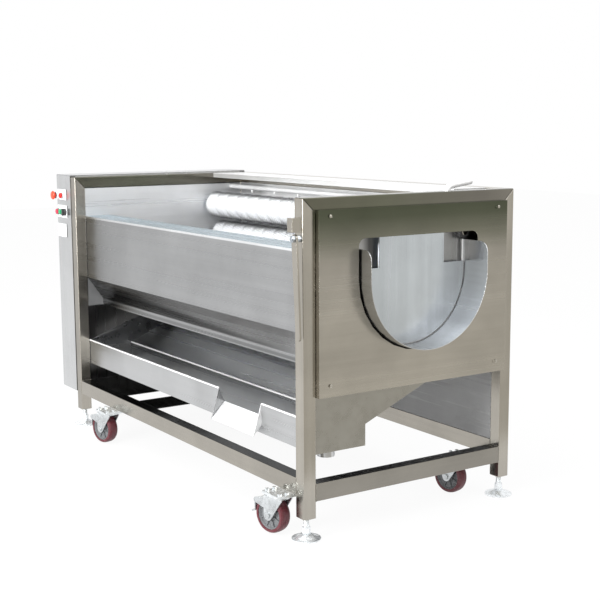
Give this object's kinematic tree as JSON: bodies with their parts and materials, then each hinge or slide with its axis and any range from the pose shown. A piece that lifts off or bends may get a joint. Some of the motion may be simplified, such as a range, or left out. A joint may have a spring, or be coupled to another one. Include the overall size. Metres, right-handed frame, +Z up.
{
  "type": "onion peeling machine",
  "caption": "Floor-standing brush-roller washing and peeling machine on a polished stainless tube frame, with a lever-operated discharge gate, collecting tray, drive cabinet and castors.",
  "frame": {"origin": "floor under the middle of the machine's footprint", "axes": "+X towards the discharge end, +Y towards the back, +Z up"},
  "size_m": [1.7662, 0.8339, 0.9709],
  "materials": {
    "stainless_polished": "mirror-polished stainless sheet and tube",
    "stainless_brushed": "fine-brushed stainless sheet",
    "zinc_steel": "bright zinc-plated steel",
    "castor_tyre": "red polyurethane tread on a grey hub",
    "black_steel": "black paint",
    "white_nylon": "white nylon bristle tufts",
    "chain_steel": "oiled roller chain",
    "motor_paint": "grey-blue paint",
    "button_red": "red moulded plastic",
    "button_purple": "red-purple moulded plastic",
    "button_green": "green moulded plastic",
    "button_black": "black moulded plastic"
  },
  "bodies": {
    "frame": {"leg_front_right": "stainless_polished", "leg_front_left": "stainless_polished", "leg_back_right": "stainless_polished", "leg_back_left": "stainless_polished", "top_rail_right": "stainless_polished", "top_rail_left": "stainless_polished", "top_rail_back": "stainless_polished", "bottom_rail_front": "stainless_polished", "bottom_rail_back": "stainless_polished", "bottom_rail_right": "stainless_polished", "bottom_rail_left": "stainless_polished", "base_sheet": "stainless_polished", "end_panel": "stainless_polished", "inner_wall_right": "stainless_polished", "inner_wall_left": "stainless_polished", "discharge_duct": "stainless_polished", "front_wall": "stainless_brushed", "back_cover": "stainless_brushed", "top_guard": "stainless_polished", "spray_pipe": "stainless_brushed", "collecting_tray": "stainless_polished", "spout": "stainless_polished", "drive_cabinet": "stainless_brushed", "cabinet_lid": "stainless_brushed", "bearings_right": "motor_paint", "bearings_left": "motor_paint", "drive_chain": "chain_steel", "gear_motor": "motor_paint"},
    "gate": {"gate": "stainless_polished", "gate_lever": "stainless_polished"},
    "roller_1": {"brush_1": "white_nylon", "roller_shaft_1": "stainless_brushed"},
    "roller_2": {"brush_2": "white_nylon", "roller_shaft_2": "stainless_brushed"},
    "roller_3": {"brush_3": "white_nylon", "roller_shaft_3": "stainless_brushed"},
    "roller_4": {"brush_roller_4": "white_nylon"},
    "roller_5": {"brush_roller_5": "white_nylon"},
    "roller_6": {"brush_roller_6": "white_nylon"},
    "roller_7": {"brush_roller_7": "white_nylon"},
    "roller_8": {"brush_roller_8": "white_nylon"},
    "swivel_front_right": {"castor_fork_front_right": "zinc_steel"},
    "wheel_front_right": {"castor_wheel_front_right": "castor_tyre"},
    "pedal_front_right": {"brake_pedal_front_right": "black_steel"},
    "swivel_front_left": {"castor_fork_front_left": "zinc_steel"},
    "wheel_front_left": {"castor_wheel_front_left": "castor_tyre"},
    "pedal_front_left": {"brake_pedal_front_left": "black_steel"},
    "swivel_back_right": {"castor_fork_back_right": "zinc_steel"},
    "wheel_back_right": {"castor_wheel_back_right": "castor_tyre"},
    "swivel_back_left": {"castor_fork_back_left": "zinc_steel"},
    "wheel_back_left": {"castor_wheel_back_left": "castor_tyre"},
    "foot_front_right": {"foot_front_right": "zinc_steel"},
    "foot_front_left": {"foot_front_left": "zinc_steel"},
    "foot_back_right": {"foot_back_right": "zinc_steel"},
    "foot_back_left": {"foot_back_left": "zinc_steel"},
    "emergency_stop": {"emergency_stop": "button_red"},
    "button_reset": {"button_reset": "button_red"},
    "button_off": {"button_off": "button_purple"},
    "button_on": {"button_on": "button_green"},
    "selector": {"selector": "button_black"}
  },
  "joints": [
    {"name": "gate_hinge", "type": "hinge", "parent": "frame", "child": "gate", "pos_m": [0.80415, 0.03088, 0.833], "axis": [0, -1, 0], "range_deg": [0, 85]},
    {"name": "roller_1_spin", "type": "hinge", "parent": "frame", "child": "roller_1", "pos_m": [0.02515, 0.23545, 0.81713], "axis": [1, 0, 0], "continuous": true},
    {"name": "roller_2_spin", "type": "hinge", "parent": "frame", "child": "roller_2", "pos_m": [0.02515, 0.26059, 0.70028], "axis": [1, 0, 0], "continuous": true},
    {"name": "roller_3_spin", "type": "hinge", "parent": "frame", "child": "roller_3", "pos_m": [0.02515, 0.22369, 0.5866], "axis": [1, 0, 0], "continuous": true},
    {"name": "roller_4_spin", "type": "hinge", "parent": "frame", "child": "roller_4", "pos_m": [0.02515, 0.13473, 0.50678], "axis": [1, 0, 0], "continuous": true},
    {"name": "roller_5_spin", "type": "hinge", "parent": "frame", "child": "roller_5", "pos_m": [0.02515, 0.01773, 0.48238], "axis": [1, 0, 0], "continuous": true},
    {"name": "roller_6_spin", "type": "hinge", "parent": "frame", "child": "roller_6", "pos_m": [0.02515, -0.09573, 0.51999], "axis": [1, 0, 0], "continuous": true},
    {"name": "roller_7_spin", "type": "hinge", "parent": "frame", "child": "roller_7", "pos_m": [0.02515, -0.17499, 0.60945], "axis": [1, 0, 0], "continuous": true},
    {"name": "roller_8_spin", "type": "hinge", "parent": "frame", "child": "roller_8", "pos_m": [0.02515, -0.19865, 0.7266], "axis": [1, 0, 0], "continuous": true},
    {"name": "swivel_front_right", "type": "hinge", "parent": "frame", "child": "swivel_front_right", "pos_m": [0.72715, -0.37311, 0.106], "axis": [0, 0, 1], "range_deg": [-105, 105]},
    {"name": "wheel_front_right_spin", "type": "hinge", "parent": "swivel_front_right", "child": "wheel_front_right", "pos_m": [0.69995, -0.37975, 0.054], "axis": [-0.2368, 0.9715, 0], "continuous": true},
    {"name": "pedal_front_right", "type": "hinge", "parent": "swivel_front_right", "child": "pedal_front_right", "pos_m": [0.65439, -0.39085, 0.09063], "axis": [0.2368, -0.9715, 0], "range_deg": [0, 4]},
    {"name": "swivel_front_left", "type": "hinge", "parent": "frame", "child": "swivel_front_left", "pos_m": [-0.41485, -0.37311, 0.106], "axis": [0, 0, 1], "continuous": true},
    {"name": "wheel_front_left_spin", "type": "hinge", "parent": "swivel_front_left", "child": "wheel_front_left", "pos_m": [-0.44205, -0.37975, 0.054], "axis": [-0.2368, 0.9715, 0], "continuous": true},
    {"name": "pedal_front_left", "type": "hinge", "parent": "swivel_front_left", "child": "pedal_front_left", "pos_m": [-0.48761, -0.39085, 0.09063], "axis": [0.2368, -0.9715, 0], "range_deg": [0, 4]},
    {"name": "swivel_back_right", "type": "hinge", "parent": "frame", "child": "swivel_back_right", "pos_m": [0.72715, 0.27288, 0.106], "axis": [0, 0, 1], "continuous": true},
    {"name": "wheel_back_right_spin", "type": "hinge", "parent": "swivel_back_right", "child": "wheel_back_right", "pos_m": [0.69957, 0.26802, 0.054], "axis": [-0.1736, 0.9848, 0], "continuous": true},
    {"name": "swivel_back_left", "type": "hinge", "parent": "frame", "child": "swivel_back_left", "pos_m": [-0.41485, 0.27288, 0.106], "axis": [0, 0, 1], "continuous": true},
    {"name": "wheel_back_left_spin", "type": "hinge", "parent": "swivel_back_left", "child": "wheel_back_left", "pos_m": [-0.44243, 0.26802, 0.054], "axis": [-0.1736, 0.9848, 0], "continuous": true},
    {"name": "foot_front_right_screw", "type": "slide", "parent": "frame", "child": "foot_front_right", "axis": [0, 0, 1], "range_m": [-0.02, 0]},
    {"name": "foot_front_left_screw", "type": "slide", "parent": "frame", "child": "foot_front_left", "axis": [0, 0, 1], "range_m": [-0.02, 0]},
    {"name": "foot_back_right_screw", "type": "slide", "parent": "frame", "child": "foot_back_right", "axis": [0, 0, 1], "range_m": [-0.02, 0]},
    {"name": "foot_back_left_screw", "type": "slide", "parent": "frame", "child": "foot_back_left", "axis": [0, 0, 1], "range_m": [-0.02, 0]},
    {"name": "emergency_stop_press", "type": "slide", "parent": "frame", "child": "emergency_stop", "axis": [0, 1, 0], "range_m": [0, 0.005]},
    {"name": "button_reset_press", "type": "slide", "parent": "frame", "child": "button_reset", "axis": [0, 1, 0], "range_m": [0, 0.0035], "stiffness_N_per_m": 400},
    {"name": "button_off_press", "type": "slide", "parent": "frame", "child": "button_off", "axis": [0, 1, 0], "range_m": [0, 0.0035], "stiffness_N_per_m": 400},
    {"name": "button_on_press", "type": "slide", "parent": "frame", "child": "button_on", "axis": [0, 1, 0], "range_m": [0, 0.0035], "stiffness_N_per_m": 400},
    {"name": "selector_turn", "type": "hinge", "parent": "frame", "child": "selector", "pos_m": [-0.80315, -0.36312, 0.806], "axis": [0, 1, 0], "range_deg": [-45, 45]}
  ],
  "couplings": [
    {"joint": "roller_1_spin", "follows": "roller_4_spin", "ratio": 1},
    {"joint": "roller_2_spin", "follows": "roller_4_spin", "ratio": 1},
    {"joint": "roller_3_spin", "follows": "roller_4_spin", "ratio": 1},
    {"joint": "roller_5_spin", "follows": "roller_4_spin", "ratio": 1},
    {"joint": "roller_6_spin", "follows": "roller_4_spin", "ratio": 1},
    {"joint": "roller_7_spin", "follows": "roller_4_spin", "ratio": 1},
    {"joint": "roller_8_spin", "follows": "roller_4_spin", "ratio": 1}
  ]
}
